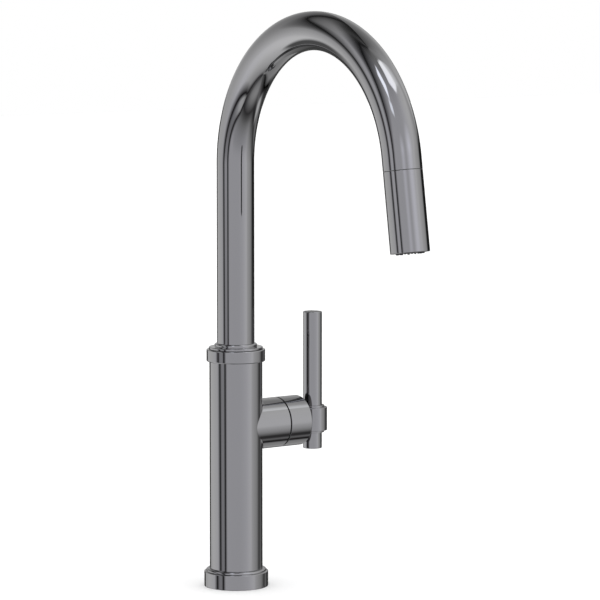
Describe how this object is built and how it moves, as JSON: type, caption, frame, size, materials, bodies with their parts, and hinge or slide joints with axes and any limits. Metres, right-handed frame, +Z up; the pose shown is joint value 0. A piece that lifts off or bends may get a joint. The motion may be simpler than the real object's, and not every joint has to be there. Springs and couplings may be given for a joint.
{
  "type": "pull down kitchen faucet",
  "caption": "Tall single-lever kitchen faucet with a round column, an arched swivel spout, a pull-down spray wand and a side lever rod.",
  "frame": {"origin": "on the column's axis at the deck face, where the threaded shank enters the deck", "axes": "+Z up along the column, spout reaches toward -Y, lever toward +X"},
  "size_m": [0.1155, 0.2664, 0.5355],
  "materials": {
    "gunmetal": "polished gunmetal coating",
    "brass": "machined",
    "steel": "machined",
    "black_plastic": "fine matte",
    "white_plastic": "moulded",
    "ceramic": "lapped",
    "rubber": "matte",
    "silicone": "soft matte",
    "hose_braid": "woven nylon braid"
  },
  "bodies": {
    "base": {"base_flange": "gunmetal", "base_gasket": "rubber", "column_body": "gunmetal", "threaded_shank": "brass", "deck_washer": "rubber", "clamp_plate": "steel", "mounting_nut": "brass", "jack_screws": "steel", "valve_manifold": "brass", "cartridge_body": "white_plastic", "cartridge_seals": "rubber", "fixed_disc": "ceramic", "bonnet_nut": "brass", "hub_guide_ring": "white_plastic", "swivel_bushing_lower": "white_plastic", "swivel_bushing_upper": "white_plastic", "collar_ring": "gunmetal", "hose_lower": "hose_braid", "hose_coupling": "steel"},
    "hub": {"handle_hub": "gunmetal", "moving_disc": "ceramic"},
    "lever": {"cartridge_stem": "steel", "lever_arm": "gunmetal", "arm_set_screw": "steel", "rod_grub_screw": "steel", "lever_collar": "gunmetal", "lever_rod": "gunmetal"},
    "spout": {"spout_base": "gunmetal", "gooseneck_tube": "gunmetal", "spout_end_sleeve": "gunmetal", "swivel_seals": "rubber", "retaining_clip": "steel", "dock_bush": "black_plastic", "dock_magnet": "steel", "hose_upper": "hose_braid"},
    "wand": {"hose_nut": "steel", "wand_neck": "black_plastic", "wand_dock_ring": "steel", "check_valve": "white_plastic", "wand_core": "black_plastic", "core_seals": "rubber", "wand_shell": "gunmetal", "spray_face": "black_plastic", "spray_nozzles": "silicone", "aerator": "steel", "button_spring": "steel"},
    "button": {"spray_button": "black_plastic", "button_plunger": "white_plastic"}
  },
  "joints": [
    {"name": "spout_swivel", "type": "hinge", "parent": "base", "child": "spout", "pos_m": [0, 0, 0.192], "axis": [0, 0, 1], "range_deg": [-180, 180]},
    {"name": "handle_turn", "type": "hinge", "parent": "base", "child": "hub", "pos_m": [0.05, 0, 0.1294], "axis": [1, 0, 0], "range_deg": [-45, 45]},
    {"name": "lever_tilt", "type": "hinge", "parent": "hub", "child": "lever", "pos_m": [0.046, 0, 0.1294], "axis": [0, 1, 0], "range_deg": [0, 13]},
    {"name": "wand_pull", "type": "slide", "parent": "spout", "child": "wand", "axis": [0, -0.1495, -0.9888], "range_m": [0, 0.25]},
    {"name": "button_press", "type": "slide", "parent": "wand", "child": "button", "axis": [0, -0.9888, 0.1495], "range_m": [0, 0.002], "stiffness_N_per_m": 800, "springref_m": -0.002, "deforming": ["button_spring"]}
  ]
}
